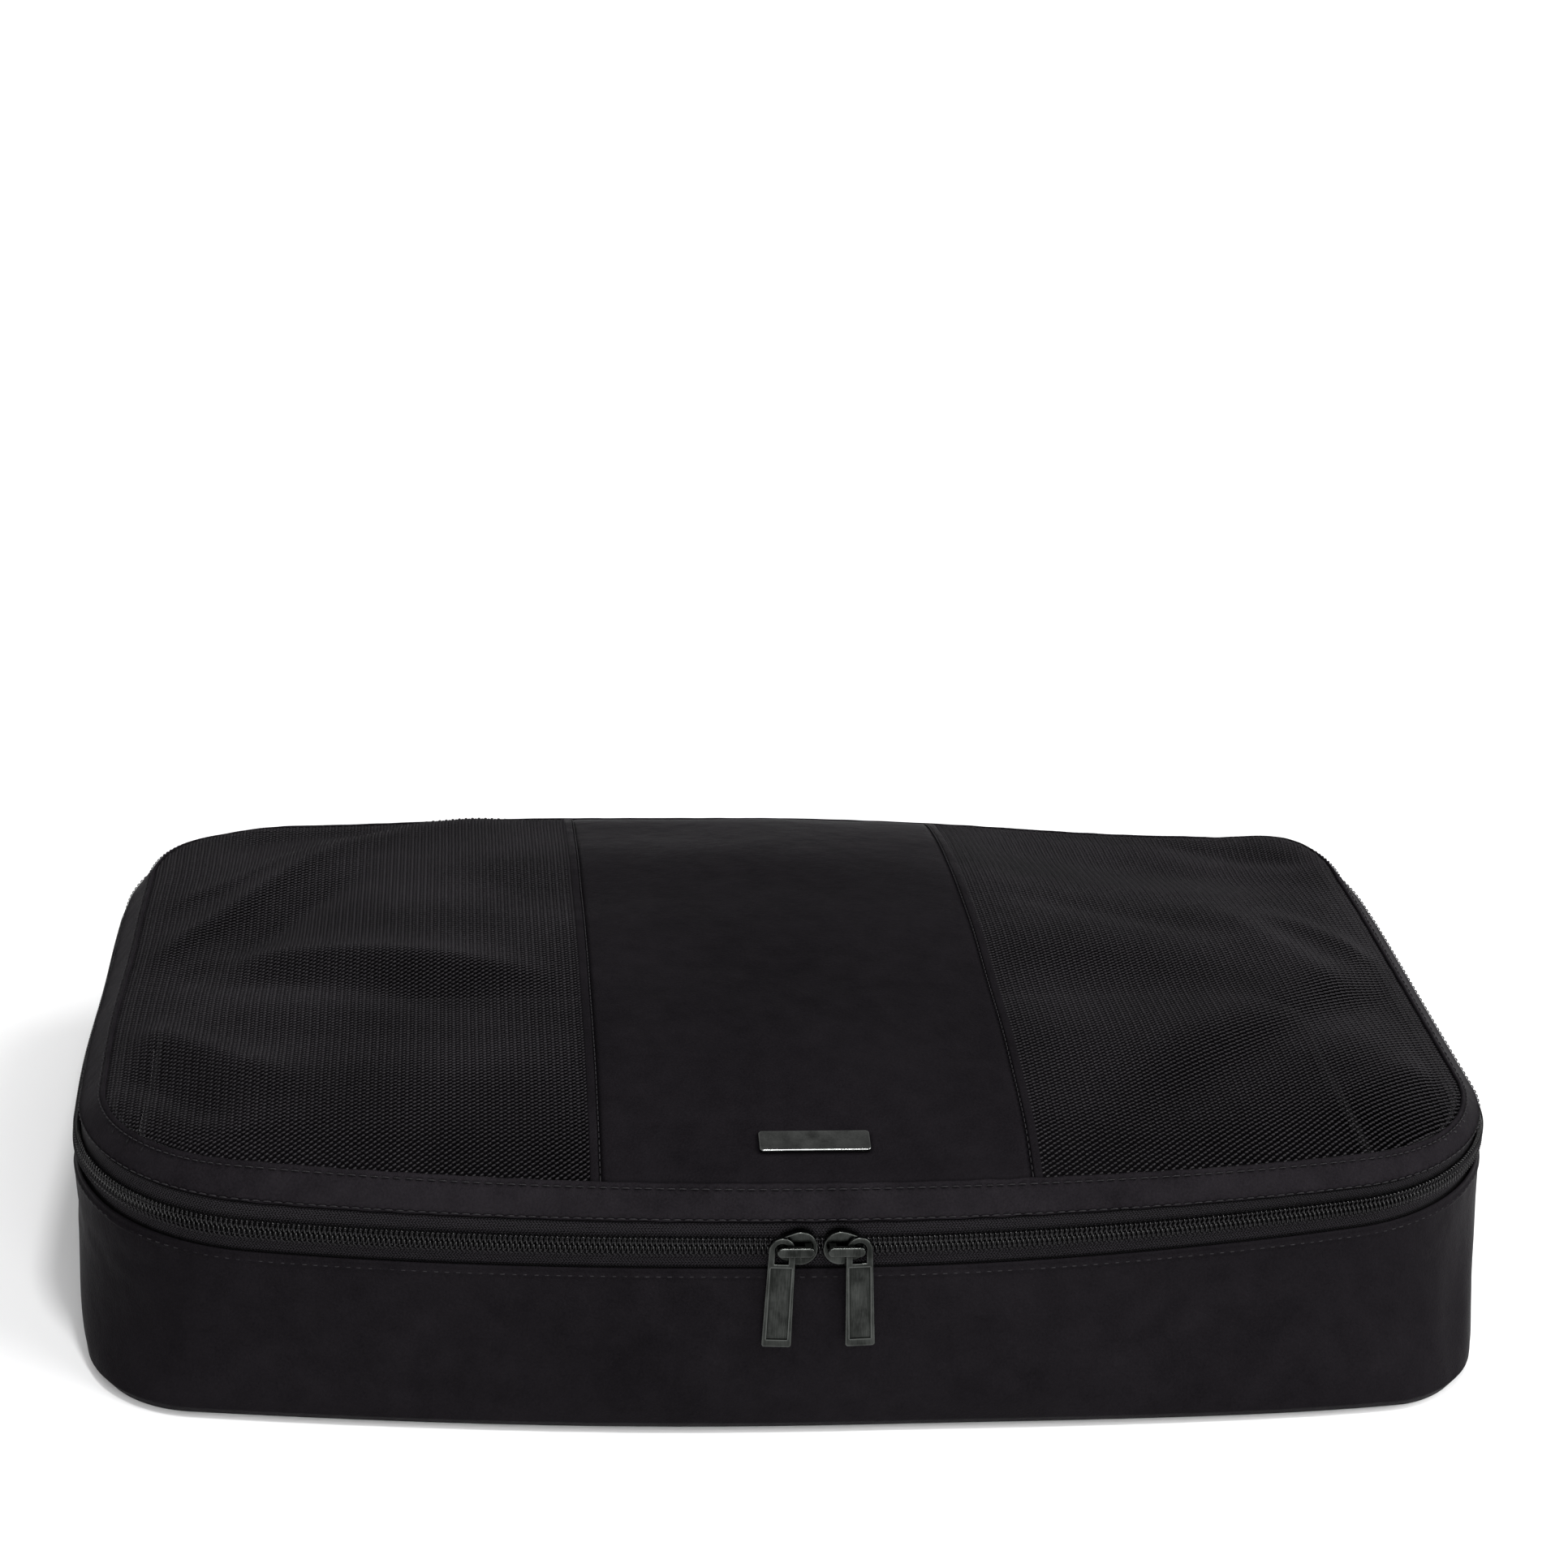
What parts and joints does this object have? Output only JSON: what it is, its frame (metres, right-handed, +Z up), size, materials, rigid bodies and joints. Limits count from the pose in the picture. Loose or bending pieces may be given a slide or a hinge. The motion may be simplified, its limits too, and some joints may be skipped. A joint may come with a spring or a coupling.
{
  "type": "packing cube",
  "caption": "Soft zipped travel organiser with a padded-looking lid of nylon and mesh, two zip sliders and flat pull tabs.",
  "frame": {"origin": "middle of the flat bottom face that the cube stands on", "axes": "+Z up; the zip's sliders face -Y; +X is to the right seen from the front, along the longest side"},
  "size_m": [0.442, 0.3059, 0.0963],
  "materials": {
    "nylon": "black sateen nylon with a soft sheen",
    "mesh": "black knitted mesh, ribbed",
    "binding": "black grosgrain binding tape",
    "zip_tape": "black herringbone zip tape",
    "coil": "black polyester coil, semi-gloss",
    "gunmetal": "gunmetal plating, glossy"
  },
  "bodies": {
    "base": {"bottom_panel": "nylon", "side_wall": "nylon", "back_wall": "nylon", "bottom_seam_binding": "binding", "lower_zip_tape": "zip_tape", "lower_coil": "coil", "base_hinge_strip": "nylon"},
    "lid": {"rim_band": "nylon", "left_mesh_panel": "mesh", "right_mesh_panel": "mesh", "centre_panel": "nylon", "left_panel_hem": "nylon", "right_panel_hem": "nylon", "upper_zip_tape": "zip_tape", "upper_coil": "coil", "lid_hinge_strip": "nylon", "lid_seam_binding": "binding", "badge_plate": "gunmetal", "badge_backing": "nylon"},
    "left_slider": {"left_slider_body": "gunmetal", "left_slider_bridge": "gunmetal"},
    "right_slider": {"right_slider_body": "gunmetal", "right_slider_bridge": "gunmetal"},
    "left_pull": {"left_pull_tab": "gunmetal"},
    "right_pull": {"right_pull_tab": "gunmetal"}
  },
  "joints": [
    {"name": "lid_hinge", "type": "hinge", "parent": "base", "child": "lid", "pos_m": [0, 0.1505, 0.064], "axis": [-1, 0, 0], "range_deg": [0, 180], "deforming": ["upper_zip_tape", "upper_coil"]},
    {"name": "left_slider_travel", "type": "hinge", "parent": "base", "child": "left_slider", "pos_m": [0, 0.65, 0.064], "axis": [0, 0, -1], "range_deg": [0, 10.5]},
    {"name": "right_slider_travel", "type": "hinge", "parent": "base", "child": "right_slider", "pos_m": [0, 0.65, 0.064], "axis": [0, 0, 1], "range_deg": [0, 10.5]},
    {"name": "left_pull_swing", "type": "hinge", "parent": "left_slider", "child": "left_pull", "pos_m": [-0.01124, -0.15162, 0.06438], "axis": [0.0086, 0.9962, -0.0872], "range_deg": [-12, 88]},
    {"name": "right_pull_swing", "type": "hinge", "parent": "right_slider", "child": "right_pull", "pos_m": [0.01124, -0.15162, 0.06438], "axis": [0.0086, -0.9962, 0.0872], "range_deg": [-12, 88]}
  ]
}
